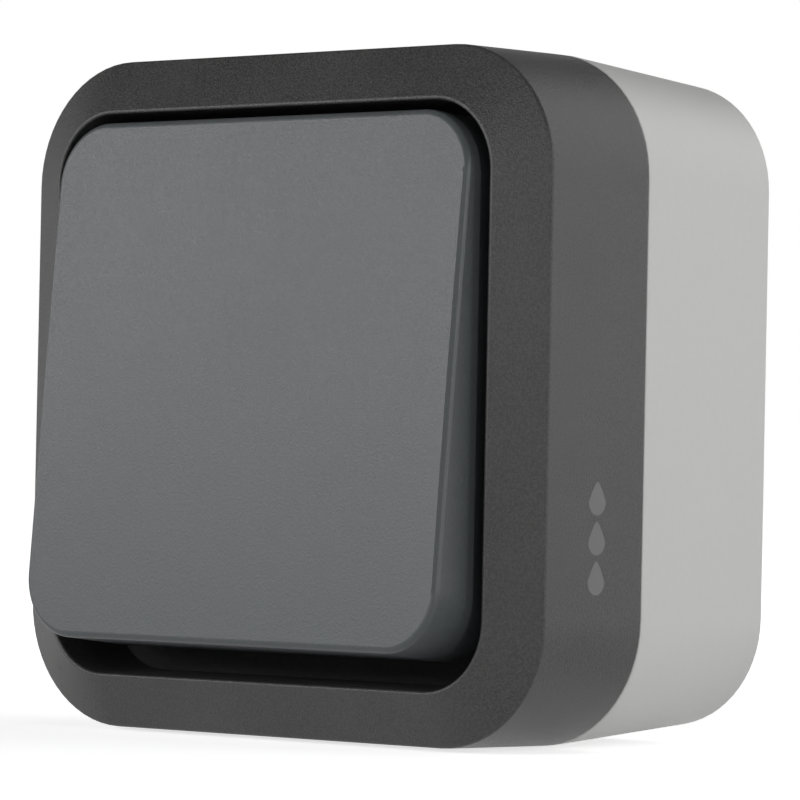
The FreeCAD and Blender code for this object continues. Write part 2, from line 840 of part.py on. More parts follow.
def bearing_plate():
    """Front plate of the insert, with the two cheeks that carry the yoke's trunnions."""
    width = 2 * (base_half_x - plate_inset)
    height = 2 * (base_half_z - plate_inset)
    plate = straight_block(width, height, base_corner, base_front, plate_front)
    pieces = [plate]
    hole = trunnion_radius + trunnion_gap
    inner = hub_half + cheek_side_gap
    outer = inner + cheek_thickness
    cuts = []
    for sign in (-1, 1):
        x_low, x_high = sorted((sign * inner, sign * outer))
        foot = [
            point(x_low, base_front, -cheek_foot),
            point(x_low, pivot_depth, -cheek_radius),
            point(x_low, pivot_depth, cheek_radius),
            point(x_low, base_front, cheek_foot),
        ]
        wedge = Part.Face(Part.makePolygon(foot + foot[:1]))
        pieces.append(wedge.extrude(FreeCAD.Vector(x_high - x_low, 0, 0)))
        pieces.append(bar(x_low, x_high, cheek_radius, pivot_depth, 0))
        cuts.append(bar(x_low, x_high, hole, pivot_depth, 0))
        cuts.append(post(-rivet_x, sign * rivet_z, rivet_radius + rivet_gap, base_front, plate_front))
    lean = (pivot_depth - base_front) * math.sin(math.radians(rocker_swing))
    opening_x = guide_radius + plate_opening_gap
    opening_z = opening_x / math.cos(math.radians(rocker_swing)) + lean
    cuts.append(block(-opening_x, opening_x, base_front, plate_front, -opening_z, opening_z))
    for x, z in terminal_places:
        cuts.append(post(x, z, driver_hole_radius, base_front, plate_front))
    return without(joined(pieces), cuts)


def plate_rivet(z):
    """Rivet through plate and base, flush at the back."""
    head = post(-rivet_x, z, rivet_head_radius, plate_front, plate_front + rivet_head)
    return joined([head, post(-rivet_x, z, rivet_radius, base_back, plate_front)])


save("rear_box", [rear_box()])
save("cable_grommet_top", [cable_grommet(1)])
save("cable_grommet_bottom", [cable_grommet(-1)])
save("box_gasket", [box_gasket()])
save("cover_frame", [cover_frame()])
save("frame_screws", [pan_screw(x, z, frame_head_seat, frame_screw_length) for x, z in frame_screw_places])
save("screw_seals", [screw_seal(x, z) for x, z in frame_screw_places])
save("rocker_seal", [rocker_seal()])
save("seal_ring", [seal_ring()])
save("rocker", [rocker()])
save("rocker_yoke", [rocker_yoke()])
save("drive_plunger", [drive_plunger()])
save("plunger_spring", [plunger_spring()])
save("contact_lever", [contact_lever()])
save("moving_tips", moving_tips())
save("common_strip", [common_strip()])
save("contact_strip_lower", [contact_strip(-1)])
save("contact_strip_upper", [contact_strip(1)])
save("fixed_tips", fixed_tips())
save("terminal_clamps", [terminal_clamp(x, z) for x, z in terminal_places])
save("terminal_screws", [terminal_screw(x, z) for x, z in terminal_places])
save("switch_base", [switch_base()])
save("bearing_plate", [bearing_plate()])
save("plate_rivets", [plate_rivet(sign * rivet_z) for sign in (-1, 1)])
save("insert_screws", [pan_screw(x, z, base_front, insert_screw_length) for x, z in insert_screw_places])
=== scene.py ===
# %% [markdown]
# # Outdoor weatherproof switch
# This notebook dresses the solid model of a surface-mounted rocker switch. The solid model already
# holds every piece at its place, so it stays the frame of the work. The three mouldings that can be
# seen from outside are modelled again here with soft edges, and every piece gets a finish of its own.

import json
import math

import bmesh
import bpy
from mathutils import Matrix, Vector

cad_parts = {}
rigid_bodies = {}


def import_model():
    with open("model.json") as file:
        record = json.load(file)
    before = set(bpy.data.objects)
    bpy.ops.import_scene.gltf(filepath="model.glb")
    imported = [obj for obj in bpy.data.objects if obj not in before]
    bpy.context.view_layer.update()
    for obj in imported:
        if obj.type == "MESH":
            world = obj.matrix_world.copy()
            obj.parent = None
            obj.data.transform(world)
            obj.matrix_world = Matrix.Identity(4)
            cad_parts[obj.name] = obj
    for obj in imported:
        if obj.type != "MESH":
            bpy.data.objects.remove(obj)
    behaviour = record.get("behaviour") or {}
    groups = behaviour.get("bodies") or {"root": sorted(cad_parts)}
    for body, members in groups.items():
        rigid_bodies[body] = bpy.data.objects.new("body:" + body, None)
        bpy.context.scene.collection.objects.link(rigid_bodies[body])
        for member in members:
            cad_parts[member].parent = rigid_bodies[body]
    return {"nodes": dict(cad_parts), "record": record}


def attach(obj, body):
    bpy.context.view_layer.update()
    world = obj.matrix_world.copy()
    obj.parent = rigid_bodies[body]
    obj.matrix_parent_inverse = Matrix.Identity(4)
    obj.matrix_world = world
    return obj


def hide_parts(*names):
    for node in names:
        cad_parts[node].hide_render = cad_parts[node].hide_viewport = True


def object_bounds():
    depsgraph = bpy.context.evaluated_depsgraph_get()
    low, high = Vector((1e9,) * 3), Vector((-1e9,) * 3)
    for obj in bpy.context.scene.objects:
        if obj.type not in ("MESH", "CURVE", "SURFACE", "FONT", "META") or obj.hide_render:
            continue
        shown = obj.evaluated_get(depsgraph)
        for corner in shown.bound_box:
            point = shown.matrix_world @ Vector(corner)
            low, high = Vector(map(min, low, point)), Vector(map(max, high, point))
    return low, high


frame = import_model()
solid_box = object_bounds()
mm = 0.001

# %% [markdown]
# ## The sizes that the visible pieces share
# The box, the frame and the opening in it are squares with round corners, and the corners of all of
# them turn about the same four centres. So one pair of numbers, the half side and the corner's
# radius, describes the front of the switch, and every smaller outline is an inset of it.

# %% Shared sizes
half_side = 33.0 * mm
corner = 12.3 * mm
joint = -21.5 * mm
frame_front = -35.8 * mm
rim_front = -38.7 * mm
well_floor = -29.5 * mm
floor_back = -27.5 * mm
opening_half = 27.45 * mm
pivot = Vector((0, -26.4 * mm, 0))
tilt = math.radians(5.0)
entry_height = -11.5 * mm
print("half side", half_side, "corner", corner)

# %% [markdown]
# ## Small helpers for edit mode
# An operator in Blender works on whatever is selected. By hand one clicks a face; in a script the
# same face is found by its place or by the way it looks, and then the operator runs. These helpers
# start a piece, pick its faces or edges with a test, and close the piece again.


# %% Start, pick and finish
def let_go():
    """Leave edit mode and deselect everything, so that the next operator touches nothing old."""
    if bpy.context.mode != "OBJECT":
        bpy.ops.object.mode_set(mode="OBJECT")
    bpy.ops.object.select_all(action="DESELECT")


def take(piece):
    """Make one piece the only one selected."""
    let_go()
    piece.select_set(True)
    bpy.context.view_layer.objects.active = piece


def start_block(name, half_x, half_z, front, back, radius, segments):
    """A block between two depths whose four long edges are rounded, left in edit mode."""
    let_go()
    middle = (front + back) / 2
    bpy.ops.mesh.primitive_cube_add(size=1, location=(0, middle, 0))
    piece = bpy.context.object
    piece.name = name
    piece.data.name = name
    piece.scale = (2 * half_x, abs(back - front), 2 * half_z)
    bpy.ops.object.transform_apply(location=True, rotation=True, scale=True)
    bpy.ops.object.mode_set(mode="EDIT")
    pick_edges(piece, lambda edge: abs(along(edge).y) > 0.99)
    bpy.ops.mesh.bevel(offset=radius, segments=segments, affect="EDGES")
    return piece


def along(edge):
    return (edge.verts[0].co - edge.verts[1].co).normalized()


def middle_of(edge):
    return (edge.verts[0].co + edge.verts[1].co) / 2


def pick_faces(piece, test):
    """Select the faces that pass a test, and nothing else."""
    bpy.ops.mesh.select_mode(type="FACE")
    bpy.ops.mesh.select_all(action="DESELECT")
    mesh = bmesh.from_edit_mesh(piece.data)
    for face in mesh.faces:
        face.select_set(bool(test(face)))
    bmesh.update_edit_mesh(piece.data)


def pick_edges(piece, test):
    """Select the edges that pass a test, and nothing else."""
    bpy.ops.mesh.select_mode(type="EDGE")
    bpy.ops.mesh.select_all(action="DESELECT")
    mesh = bmesh.from_edit_mesh(piece.data)
    for edge in mesh.edges:
        edge.select_set(bool(test(edge)))
    bmesh.update_edit_mesh(piece.data)


def pick_level(piece, depth, outward):
    """Select the faces that lie flat at one depth and look out of the wall, or into it."""
    pick_faces(
        piece,
        lambda face: abs(face.calc_center_median().y - depth) < 1e-5 and face.normal.y * outward < -0.9,
    )


def loop_at(depth, half):
    """A test for the edges of the outline with this half side at one depth."""

    def test(edge):
        level = all(abs(v.co.y - depth) < 1e-5 for v in edge.verts)
        place = middle_of(edge)
        reach = half_side - corner
        over_x = max(abs(place.x) - reach, 0)
        over_z = max(abs(place.z) - reach, 0)
        return level and abs(math.hypot(over_x, over_z) - (half - reach)) < 0.15 * mm

    return test


def soften(piece, test, width, segments):
    """Round the edges that pass a test."""
    pick_edges(piece, test)
    bpy.ops.mesh.bevel(offset=width, segments=segments, affect="EDGES")


def push(distance, axis=1):
    """Extrude what is selected along one axis."""
    move = [0, 0, 0]
    move[axis] = distance
    bpy.ops.mesh.extrude_region_move(TRANSFORM_OT_translate={"value": move})


def finish_piece(piece):
    """Leave edit mode, smooth what bends gently and keep flat faces flat."""
    take(piece)
    smooth_under = math.radians(32)
    bpy.ops.object.shade_smooth_by_angle(angle=smooth_under)
    evened = piece.modifiers.new("even_normals", "WEIGHTED_NORMAL")
    evened.keep_sharp = True
    bpy.ops.object.modifier_apply(modifier=evened.name)
    low = [min(v.co[i] for v in piece.data.vertices) / mm for i in range(3)]
    high = [max(v.co[i] for v in piece.data.vertices) / mm for i in range(3)]
    print(piece.name, "from", [round(v, 2) for v in low], "to", [round(v, 2) for v in high], "mm")


def cut_with(piece, cutter):
    """Take the cutter's space out of the piece and remove the cutter."""
    take(piece)
    cut = piece.modifiers.new("cut", "BOOLEAN")
    cut.operation = "DIFFERENCE"
    cut.solver = "EXACT"
    cut.object = cutter
    bpy.ops.object.modifier_apply(modifier=cut.name)
    bpy.data.objects.remove(cutter)


def round_cutter(x, y, z, radius, length, turn):
    """A smooth round cutter about a place."""
    let_go()
    bpy.ops.mesh.primitive_cylinder_add(
        vertices=64, radius=radius, depth=length, location=(x, y, z), rotation=turn
    )
    bpy.ops.object.transform_apply(location=True, rotation=True, scale=True)
    return bpy.context.object


# %% [markdown]
# ## The rear box
# The box is moulded in light grey plastic and its wall is drafted: it gets narrower towards the wall
# it hangs on, so that the moulding leaves its tool. A block could be scaled down at one end, but that
# would shrink the corners' centres too. Insetting the end face while moving it keeps the centres, as
# the real tool does. The hollow is the same inset run the other way.

# %% Model the rear box
lip = 0.6 * mm
box_draft = 1.45 * mm
shoulder = 1.35 * mm
spigot_height = 2.2 * mm
spigot_wall = 1.05 * mm
hollow_draft = 1.28 * mm
hollow_depth = 21.2 * mm
back_round = 0.5 * mm
joint_round = 0.15 * mm
rear_box = start_block("box_moulding", half_side, half_side, joint, joint + lip, corner, 16)
pick_level(rear_box, joint + lip, -1)
bpy.ops.mesh.inset(thickness=box_draft, depth=-joint - lip)
pick_level(rear_box, joint, 1)
bpy.ops.mesh.inset(thickness=shoulder, depth=0)
push(-spigot_height)
bpy.ops.mesh.inset(thickness=spigot_wall, depth=0)
bpy.ops.mesh.inset(thickness=hollow_draft, depth=-hollow_depth)
soften(rear_box, loop_at(0, half_side - box_draft), back_round, 4)
soften(rear_box, loop_at(joint, half_side), joint_round, 3)

# %% [markdown]
# The wall screws pass through two level slots in the back, and a cable can enter from above or from
# below. Holes could be drawn into the mesh edge by edge; a cutter is quicker and gives clean walls.

# %% Cut the wall slots and the cable entries
slot_half_length = 3.5 * mm
slot_radius = 2.2 * mm
slot_place = 24 * mm
slot_front = -6 * mm
slot_back = 2 * mm
slot_round = slot_radius - 0.01 * mm
entry_radius = 7.0 * mm
entry_length = 80 * mm
for side in (-1, 1):
    slot_cutter = start_block(
        "slot_cutter", slot_half_length, slot_radius, slot_front, slot_back, slot_round, 10
    )
    bpy.ops.object.mode_set(mode="OBJECT")
    slot_cutter.location.x = side * slot_place
    bpy.ops.object.transform_apply(location=True, rotation=False, scale=False)
    cut_with(rear_box, slot_cutter)
entry_cutter = round_cutter(0, entry_height, 0, entry_radius, entry_length, (0, 0, 0))
cut_with(rear_box, entry_cutter)
finish_piece(rear_box)
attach(rear_box, "housing")
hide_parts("rear_box")

# %% [markdown]
# ## The cable entries
# Each entry is closed by a rubber seal with a stepped cone in the middle, which the fitter cuts to
# the size of the cable. It is a turned shape, so a disc that is inset and moved ring by ring makes
# it. One is modelled, and the other is a copy turned over.

# %% Model the entry seals
seal_radius = 6.95 * mm
seal_height = 3.7 * mm
seal_middle = 29.85 * mm
seal_wall = 1.2 * mm
seal_hollow = 1.3 * mm
back_hollow = 1.4 * mm
step_width = 1.25 * mm
step_rise = 0.28 * mm
step_round = 0.2 * mm
tip_width = 0.4 * mm
below_rim = 31.6 * mm
let_go()
bpy.ops.mesh.primitive_cylinder_add(
    vertices=48, radius=seal_radius, depth=seal_height, location=(0, entry_height, seal_middle)
)
top_seal = bpy.context.object
top_seal.name = "entry_seal_top"
bpy.ops.object.transform_apply(location=True, rotation=True, scale=True)
bpy.ops.object.mode_set(mode="EDIT")
pick_faces(top_seal, lambda face: face.normal.z > 0.9)
bpy.ops.mesh.inset(thickness=seal_wall, depth=0)
push(-seal_hollow, 2)
for step in range(3):
    bpy.ops.mesh.inset(thickness=step_width, depth=0)
    push(step_rise, 2)
bpy.ops.mesh.inset(thickness=tip_width, depth=0)
pick_faces(top_seal, lambda face: face.normal.z < -0.9)
bpy.ops.mesh.inset(thickness=seal_wall, depth=0)
push(back_hollow, 2)
pick_edges(
    top_seal,
    lambda edge: all(v.co.z > below_rim for v in edge.verts)
    and abs(along(edge).z) < 0.1
    and len(edge.link_faces) == 2
    and edge.calc_face_angle() > 1,
)
bpy.ops.mesh.bevel(offset=step_round, segments=3, affect="EDGES")
finish_piece(top_seal)

take(top_seal)
bpy.ops.object.duplicate()
low_seal = bpy.context.object
low_seal.name = "entry_seal_low"
bpy.ops.object.mode_set(mode="EDIT")
bpy.ops.mesh.select_all(action="SELECT")
bpy.ops.transform.rotate(
    value=math.pi, orient_axis="Y", center_override=(0, entry_height, 0)
)
finish_piece(low_seal)
for seal, node in ((top_seal, "cable_grommet_top"), (low_seal, "cable_grommet_bottom")):
    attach(seal, "housing")
    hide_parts(node)

# %% [markdown]
# ## The cover frame
# The frame carries the look of the switch: a nearly upright side, a rim that slopes up towards the
# opening, and a deep well behind the rocker. All of these are insets of one outline again. The edge of
# the opening and the outer edge of the rim catch a thin line of light, so both get a small rounding.

# %% Model the cover frame
frame_draft = 0.17 * mm
well_draft = 0.15 * mm
rebate_width = 1.2 * mm
rebate_depth = 3.1 * mm
inner_ledge = 1.2 * mm
well_wall = 1.55 * mm
rim_hollow = 7.2 * mm
cover = start_block("frame_moulding", half_side, half_side, joint - lip, joint, corner, 16)
pick_level(cover, joint - lip, 1)
bpy.ops.mesh.inset(thickness=frame_draft, depth=joint - lip - frame_front)
bpy.ops.mesh.inset(thickness=half_side - frame_draft - opening_half, depth=frame_front - rim_front)
bpy.ops.mesh.inset(thickness=well_draft, depth=rim_front - well_floor)
pick_level(cover, joint, -1)
bpy.ops.mesh.inset(thickness=rebate_width, depth=0)
push(-rebate_depth)
bpy.ops.mesh.inset(thickness=inner_ledge, depth=0)
push(floor_back - joint + rebate_depth)
bpy.ops.mesh.inset(thickness=well_wall, depth=0)
pick_faces(
    cover,
    lambda face: face.normal.y > 0.9
    and abs(face.calc_center_median().y - floor_back) < 1e-5
    and face.calc_area() < 20 * mm * 20 * mm,
)
push(-rim_hollow)

# %% [markdown]
# The well's floor has a round hole for the rubber diaphragm and two seats for the screws that hold
# the frame. They lie in the shadow behind the rocker, and are cut as on the solid model.

# %% Cut the floor and round the edges
floor_middle = (well_floor + floor_back) / 2
screw_place = 19.5 * mm
diaphragm_radius = 12.6 * mm
seat_radius = 3.35 * mm
hole_length = 6 * mm
holes = [(0, 0, diaphragm_radius)]
holes += [(-screw_place * side, screw_place * side, seat_radius) for side in (-1, 1)]
for x, z, radius in holes:
    cut_with(cover, round_cutter(x, floor_middle, z, radius, hole_length, (math.pi / 2, 0, 0)))
opening_round = 0.5 * mm
rim_round = 0.24 * mm
take(cover)
bpy.ops.object.mode_set(mode="EDIT")
soften(cover, loop_at(rim_front, opening_half), opening_round, 5)
soften(cover, loop_at(frame_front, half_side - frame_draft), rim_round, 4)
soften(cover, loop_at(joint, half_side), joint_round, 3)
finish_piece(cover)
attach(cover, "housing")
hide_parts("cover_frame")

# %% [markdown]
# ## The rocker
# The rocker's face ends in a rounding of about half a millimetre, which shows as a dark band and a
# thin line of light. The face is also crowned: its middle stands a quarter of a millimetre further
# out than its upper and lower edges, and from left to right it is straight. A subdivided face could
# be pushed out, but the round corners would then be left behind. So the edge is rounded first, then
# the face is cut into level strips, one cut through every corner point, and each level is moved out
# by what an arc of a large circle gives there.

# %% Model the rocker
rocker_half_x = 26.15 * mm
rocker_half_z = 25.3 * mm
rocker_corner = 6.0 * mm
skirt_back = -32.9 * mm
rocker_face = -41.75 * mm
face_round = 0.6 * mm
crown = 0.25 * mm
spread = 0.15 * mm
skirt_front = skirt_back - 0.5 * mm
button = start_block(
    "rocker_button",
    rocker_half_x + spread,
    rocker_half_z + spread,
    skirt_front,
    skirt_back,
    rocker_corner + spread,
    14,
)
pick_level(button, skirt_front, 1)
bpy.ops.mesh.inset(thickness=spread, depth=skirt_front - rocker_face)
soften(
    button,
    lambda edge: all(abs(v.co.y - rocker_face) < 1e-5 for v in edge.verts),
    face_round,
    7,
)
flat_half = rocker_half_z - face_round - 0.01 * mm
corner_levels = {
    round(v.co.z, 7) for v in bmesh.from_edit_mesh(button.data).verts if v.co.y < rocker_face + 1e-6
}
cuts = [v for v in corner_levels if abs(v) < flat_half]
cuts += [(rocker_half_z - rocker_corner) * step / 8 for step in range(-7, 8)]
for level in sorted(cuts):
    pick_level(button, rocker_face, 1)
    bpy.ops.mesh.bisect(plane_co=(0, 0, level), plane_no=(0, 0, 1), threshold=1e-6)

crown_radius = (rocker_half_z**2 + crown**2) / (2 * crown)
round_back = rocker_face + face_round + 0.05 * mm
groups = {}
mesh = bmesh.from_edit_mesh(button.data)
for v in mesh.verts:
    if v.co.y < round_back:
        groups.setdefault(round(v.co.z, 6), []).append(v.index)
bpy.ops.mesh.select_mode(type="VERT")
for level, members in groups.items():
    rise = crown - crown_radius + math.sqrt(crown_radius**2 - level**2)
    bpy.ops.mesh.select_all(action="DESELECT")
    mesh = bmesh.from_edit_mesh(button.data)
    mesh.verts.ensure_lookup_table()
    for number in members:
        mesh.verts[number].select_set(True)
    bmesh.update_edit_mesh(button.data)
    bpy.ops.transform.translate(value=(0, -rise, 0))
print("levels of the rocker's face:", len(groups), "crown radius", round(crown_radius / mm), "mm")

# %% [markdown]
# Behind, the rocker is hollow, with ribs that stiffen the face and a square socket that snaps over
# the inner lever. The hollow is an inset of the back pushed forwards, and the ribs are plain bars.

# %% Hollow the back
skirt_wall = 1.6 * mm
rocker_hollow = 6.8 * mm
pick_level(button, skirt_back, -1)
bpy.ops.mesh.inset(thickness=skirt_wall, depth=0)
push(-rocker_hollow)
rib = 1.0 * mm
rib_deep = 3.6 * mm
rib_place = 5.1 * mm
rib_sunk = 2.4 * mm
socket_wall = 1.5 * mm
socket_deep = 4.3 * mm
socket_wide = 11.2 * mm
socket_place = (socket_wide - socket_wall) / 2
bars = []
for side in (-1, 1):
    bars.append((side * rib_place, 0, rib, 2 * rocker_half_z - rib_sunk, rib_deep))
    bars.append((0, side * rib_place, 2 * rocker_half_x - rib_sunk, rib, rib_deep))
    bars.append((side * socket_place, 0, socket_wall, socket_wide, socket_deep))
    bars.append((0, side * socket_place, socket_wide - 0.2 * mm, socket_wall, socket_deep))
bar_front = skirt_back - rocker_hollow - 0.1 * mm
for x, z, wide, high, deep in bars:
    bpy.ops.mesh.select_all(action="DESELECT")
    bpy.ops.mesh.primitive_cube_add(size=1, location=(x, bar_front + deep / 2, z))
    bpy.ops.transform.resize(value=(wide, deep, high))

# %% [markdown]
# The rocker was drawn level. In the photograph its lower edge stands out, five degrees about the
# trunnions, which lie well behind the face.

# %% Tilt the rocker
bpy.ops.mesh.select_all(action="SELECT")
bpy.ops.transform.rotate(value=tilt, orient_axis="X", center_override=pivot)
finish_piece(button)
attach(button, "rocker")
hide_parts("rocker")

# %% [markdown]
# ## The mark on the frame's side
# A pad-printed mark stands upright on the side of the frame. A row of three plain drops, drawn for
# this model, says that the switch stands rain. Each drop is a disc whose top is drawn out to a point
# and which gets the thickness of a coat of paint, sunk into the wall, so that its mesh is closed.

# %% Model the drops
mark_depth = -28.4 * mm
drop_radius = 1.25 * mm
drop_tip = 1.9 * mm
tip_narrowing = 0.55
print_height = 0.01 * mm
print_thickness = 0.03 * mm
for number, height in enumerate((-9.6, -13.3, -17.0)):
    let_go()
    bpy.ops.mesh.primitive_circle_add(
        vertices=28,
        radius=drop_radius,
        fill_type="NGON",
        location=(0, mark_depth, height * mm),
        rotation=(math.pi / 2, 0, math.pi / 2),
    )
    drop = bpy.context.object
    drop.name = "side_mark_" + str(number + 1)
    bpy.ops.object.transform_apply(location=True, rotation=True, scale=True)
    bpy.ops.object.mode_set(mode="EDIT")
    mesh = bmesh.from_edit_mesh(drop.data)
    low = height * mm
    for v in mesh.verts:
        up = (v.co.z - low) / drop_radius
        if up > 0:
            v.co.y = mark_depth + (v.co.y - mark_depth) * (1 - tip_narrowing * up)
            v.co.z = low + up * drop_tip
        wall = half_side - frame_draft * (joint - v.co.y) / (joint - frame_front)
        v.co.x = wall + print_height
    bmesh.update_edit_mesh(drop.data)
    bpy.ops.mesh.select_all(action="SELECT")
    push(-print_thickness, 0)
    bpy.ops.mesh.select_all(action="SELECT")
    bpy.ops.mesh.normals_make_consistent(inside=False)
    finish_piece(drop)
    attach(drop, "housing")

# %% [markdown]
# ## Shader maths as plain expressions
# A finish is a tree of nodes. Written node by node, a simple formula takes many lines, so one small
# class wraps a socket and lets Python's own signs add the Math nodes.


# %% A socket that can be added and multiplied
class Wire:
    """A socket of a finish that works in Python expressions."""

    def __init__(self, socket):
        self.socket = socket

    def node(self, kind, settings=None, inputs=None, outlet=0):
        return add_node(self.socket.id_data, kind, settings, inputs, outlet)

    def maths(self, operation, first, second):
        return self.node("ShaderNodeMath", {"operation": operation}, {0: first, 1: second})

    def __add__(self, other):
        return self.maths("ADD", self, other)

    def __radd__(self, other):
        return self.maths("ADD", other, self)

    def __sub__(self, other):
        return self.maths("SUBTRACT", self, other)

    def __rsub__(self, other):
        return self.maths("SUBTRACT", other, self)

    def __mul__(self, other):
        return self.maths("MULTIPLY", self, other)

    def __rmul__(self, other):
        return self.maths("MULTIPLY", other, self)


def add_node(tree, kind, settings=None, inputs=None, outlet=0):
    """One node with its settings made first, then its values and links."""
    made = tree.nodes.new(kind)
    for name, value in (settings or {}).items():
        setattr(made, name, value)
    for name, value in (inputs or {}).items():
        if isinstance(value, Wire):
            tree.links.new(value.socket, made.inputs[name])
        else:
            made.inputs[name].default_value = value
    return Wire(made.outputs[outlet]) if made.outputs else made


# %% [markdown]
# ## Finishes
# All the outer mouldings are plastic, and yet no two look alike. What tells them apart is the grain
# of the tool: the frame's is spark-eroded and sparkles a little, the rocker's is finer, and the box
# is nearly smooth. Grain is far too small to model, so it goes into the normal as a bump.


# %% Start a finish
def new_finish(name, roughness, metallic=0.0, specular=0.5):
    """A finish with its shader and a wire that reads the piece's own coordinates."""
    made = bpy.data.materials.new(name)
    made.use_nodes = True
    made.node_tree.nodes.clear()
    tree = made.node_tree
    shader = tree.nodes.new("ShaderNodeBsdfPrincipled")
    shader.inputs["Roughness"].default_value = roughness
    shader.inputs["Metallic"].default_value = metallic
    shader.inputs["Specular IOR Level"].default_value = specular
    sheet = tree.nodes.new("ShaderNodeOutputMaterial")
    tree.links.new(shader.outputs[0], sheet.inputs[0])
    places = add_node(tree, "ShaderNodeTexCoord", outlet="Object")
    return made, tree, shader, places


def noise(places, per_metre, detail=2.0, rough=0.5):
    """Even noise with this many blobs to a metre."""
    return places.node(
        "ShaderNodeTexNoise",
        None,
        {"Vector": places, "Scale": per_metre, "Detail": detail, "Roughness": rough},
        "Fac",
    )


def link(tree, wire, shader, name):
    tree.links.new(wire.socket, shader.inputs[name])


def ranged(wire, near, far, first=0.0, second=1.0, shape="LINEAR"):
    """A wire whose values from near to far are mapped from the first to the second."""
    return wire.node(
        "ShaderNodeMapRange",
        {"interpolation_type": shape},
        {"Value": wire, "From Min": near, "From Max": far, "To Min": first, "To Max": second},
    )


def tint(places, mask, first, second):
    """A colour between two, each a wire or three numbers, by a mask from 0 to 1."""
    ends = {}
    for number, end in ((6, first), (7, second)):
        ends[number] = end if isinstance(end, Wire) else (*end, 1)
    return places.node("ShaderNodeMix", {"data_type": "RGBA"}, {0: mask, **ends}, 2)


def moulded(name, colour, shade, grain_size, grain_depth, roughness, specular=0.5, deep=None):
    """Moulded plastic: a tool grain in the normal and a faint cloudiness in the colour."""
    made, tree, shader, places = new_finish(name, roughness, 0.0, specular)
    cloud = noise(places, 1 / cloud_size, 3.0)
    speck = noise(places, 1 / (grain_size * 1.3), 1.0)
    fleck = ranged(speck, 0.38, 0.62)
    mask = 0.55 * cloud + 0.45 * fleck
    dark = tuple(v * (1 - shade) for v in colour)
    light = tuple(v * (1 + shade) for v in colour)
    surface = tint(places, mask, dark, light)
    sheen = roughness - 0.07 + 0.06 * cloud + 0.08 * fleck
    # Where a mask is given, painted shade darkens the colour there, and the finish also gets duller.
    if deep:
        hidden = deep(places)
        surface = tint(places, hidden, surface, tuple(v * well_shade for v in colour))
        sheen = sheen + well_dullness * hidden
    link(tree, surface, shader, "Base Color")
    link(tree, sheen, shader, "Roughness")
    grain = noise(places, 1 / grain_size, 2.0, 0.6)
    bump = places.node(
        "ShaderNodeBump", None, {"Strength": 1.0, "Distance": grain_depth, "Height": grain}
    )
    link(tree, bump, shader, "Normal")
    return made


# %% [markdown]
# The grain of both dark plastics is about a fifth of a millimetre across, and the frame's is deeper.
# The colours are written as light values, not as screen values, so a grey that looks a quarter bright
# is about 0.05. The gap round the rocker looks nearly black, so shade is painted into the colour of
# the frame's well, whose finish is also duller than its rim: a mask finds what lies behind the rim
# and inside the opening.


# %% Mix the plastics
# This mask says where shade is painted into the colour of the frame's well.
def well_painted_shade_mask(places):
    """One for what lies behind the rim and inside the opening, else nothing."""
    x, y, z = (places.node("ShaderNodeSeparateXYZ", None, {0: places}, axis) for axis in "XYZ")
    wide = x.maths("ABSOLUTE", x, 0)
    high = z.maths("ABSOLUTE", z, 0)
    side = wide.maths("MAXIMUM", wide, high)
    behind = ranged(y, rim_front + dark_from, rim_front + dark_to)
    inside = side.maths("LESS_THAN", side, opening_half + 0.1 * mm)
    return behind * inside


dark_from = 1 * mm
dark_to = 4 * mm
# The share of the frame's colour that is left where shade is painted into the well.
well_shade = 0.15
well_dullness = 0.4
cloud_size = 12 * mm
light_grey = (0.56, 0.56, 0.55)
anthracite = (0.038, 0.038, 0.0375)
slate_grey = (0.067, 0.0742, 0.0782)
inner_white = (0.60, 0.60, 0.57)
base_grey = (0.34, 0.34, 0.32)
print_grey = (0.13, 0.13, 0.13)
box_plastic = moulded("box_plastic", light_grey, 0.02, 0.5 * mm, 0.006 * mm, 0.48, 0.35)
frame_plastic = moulded("frame_plastic", anthracite, 0.6, 0.16 * mm, 0.05 * mm, 0.42, 0.36, well_painted_shade_mask)
rocker_plastic = moulded("rocker_plastic", slate_grey, 0.12, 0.2 * mm, 0.02 * mm, 0.38, 0.32)
inner_plastic = moulded("inner_plastic", inner_white, 0.03, 0.4 * mm, 0.004 * mm, 0.42)
base_plastic = moulded("base_plastic", base_grey, 0.03, 0.4 * mm, 0.004 * mm, 0.45)
mark_print = moulded("mark_print", print_grey, 0.04, 0.3 * mm, 0.004 * mm, 0.6)

# %% [markdown]
# Rubber is duller than plastic and picks up a little dust, so its colour lifts in patches. Metal
# parts are small and hidden, but the contact strips keep the drawn lines of the rolled sheet.


# %% Mix the rubbers and the metals
def rubber(name, colour):
    made, tree, shader, places = new_finish(name, 0.72, 0.0, 0.35)
    dust = noise(places, 260, 4.0, 0.6)
    dark = tuple(v * 0.85 for v in colour)
    light = tuple(v * 1.15 + 0.004 for v in colour)
    link(tree, tint(places, dust, dark, light), shader, "Base Color")
    link(tree, 0.66 + 0.12 * dust, shader, "Roughness")
    skin = places.node(
        "ShaderNodeBump", None, {"Strength": 1.0, "Distance": 0.000008, "Height": noise(places, 2600)}
    )
    link(tree, skin, shader, "Normal")
    return made


def metal(name, colour, roughness, drawn):
    """Bare metal whose fine lines run across the direction that is stretched least."""
    made, tree, shader, places = new_finish(name, roughness, 1.0)
    stretched = places.node("ShaderNodeMapping", None, {"Vector": places, "Scale": drawn})
    lines = noise(stretched, 900, 3.0, 0.6)
    dark = tuple(v * 0.9 for v in colour)
    light = tuple(min(v * 1.06, 1) for v in colour)
    link(tree, tint(places, lines, dark, light), shader, "Base Color")
    link(tree, roughness - 0.06 + 0.12 * lines, shader, "Roughness")
    scratch = places.node(
        "ShaderNodeBump", None, {"Strength": 1.0, "Distance": 0.000004, "Height": lines}
    )
    link(tree, scratch, shader, "Normal")
    return made


